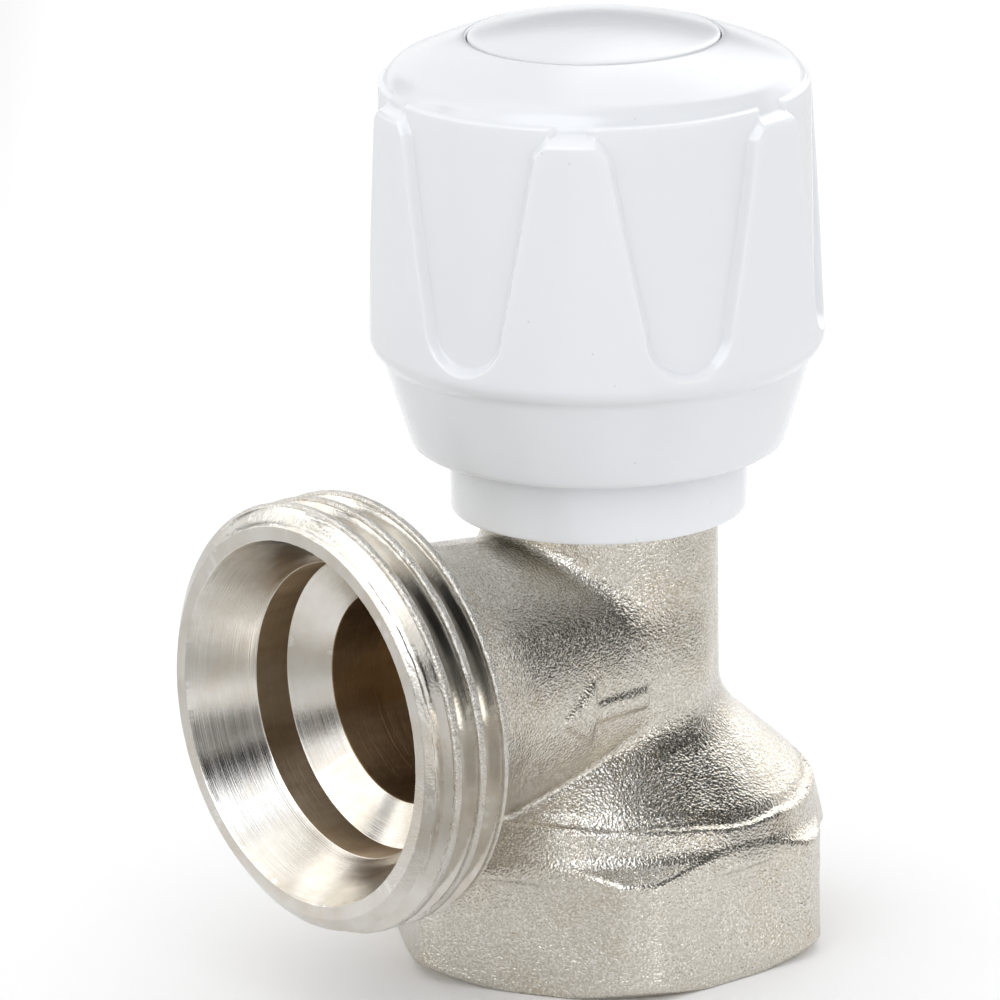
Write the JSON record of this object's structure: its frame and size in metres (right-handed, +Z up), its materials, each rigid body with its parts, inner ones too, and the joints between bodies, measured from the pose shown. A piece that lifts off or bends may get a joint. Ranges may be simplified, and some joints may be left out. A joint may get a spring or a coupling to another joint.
{
  "type": "lockshield valve",
  "caption": "Angle lockshield valve: plated forged body with hexagonal female inlet, male threaded union outlet and a white fluted shield cap over a hidden regulating spindle.",
  "frame": {"origin": "centre of the hexagonal inlet base's bottom face, on the spindle axis", "axes": "+Z up the spindle axis towards the shield cap, +X out along the outlet's axis"},
  "size_m": [0.0469, 0.0346, 0.0729],
  "materials": {
    "body_nickel": "brass, nickel plated; blasted forging with bright machined thread and seats",
    "inner_brass": "bare machined brass",
    "cap_plastic": "glossy white moulded plastic",
    "disc_plastic": "glossy white moulded plastic with a soft grain",
    "collar_plastic": "smooth white moulded plastic",
    "seal_rubber": "black sealing rubber",
    "seal_plastic": "pale low-friction plastic",
    "plated_steel": "zinc-plated steel"
  },
  "bodies": {
    "valve": {"valve_body": "body_nickel", "bonnet": "inner_brass", "bonnet_o_ring": "seal_rubber", "collar_ring": "collar_plastic", "thrust_washer": "seal_plastic", "gland_packing": "seal_plastic", "gland_nut": "inner_brass"},
    "spindle": {"spindle": "inner_brass", "lower_stem_o_ring": "seal_rubber", "upper_stem_o_ring": "seal_rubber", "lower_cap_washer": "seal_plastic", "upper_cap_washer": "plated_steel", "cap_screw": "plated_steel"},
    "plug": {"plug": "inner_brass", "seat_washer": "seal_rubber", "washer_plate": "inner_brass", "washer_screw": "inner_brass"},
    "cap": {"shield_cap": "cap_plastic"},
    "disc": {"top_disc": "disc_plastic"}
  },
  "joints": [
    {"name": "spindle_turn", "type": "hinge", "parent": "valve", "child": "spindle", "pos_m": [0, 0, 0.05], "axis": [0, 0, 1], "range_deg": [-360, 720]},
    {"name": "plug_lift", "type": "slide", "parent": "valve", "child": "plug", "axis": [0, 0, 1], "range_m": [-0.0015, 0.003]},
    {"name": "cap_spin", "type": "hinge", "parent": "valve", "child": "cap", "pos_m": [0, 0, 0.059], "axis": [0, 0, 1], "continuous": true},
    {"name": "disc_lift", "type": "slide", "parent": "cap", "child": "disc", "axis": [0, 0, 1], "range_m": [0, 0.012]}
  ],
  "couplings": [
    {"joint": "spindle_turn", "follows": "plug_lift", "rad_per_m": 4188.8}
  ]
}
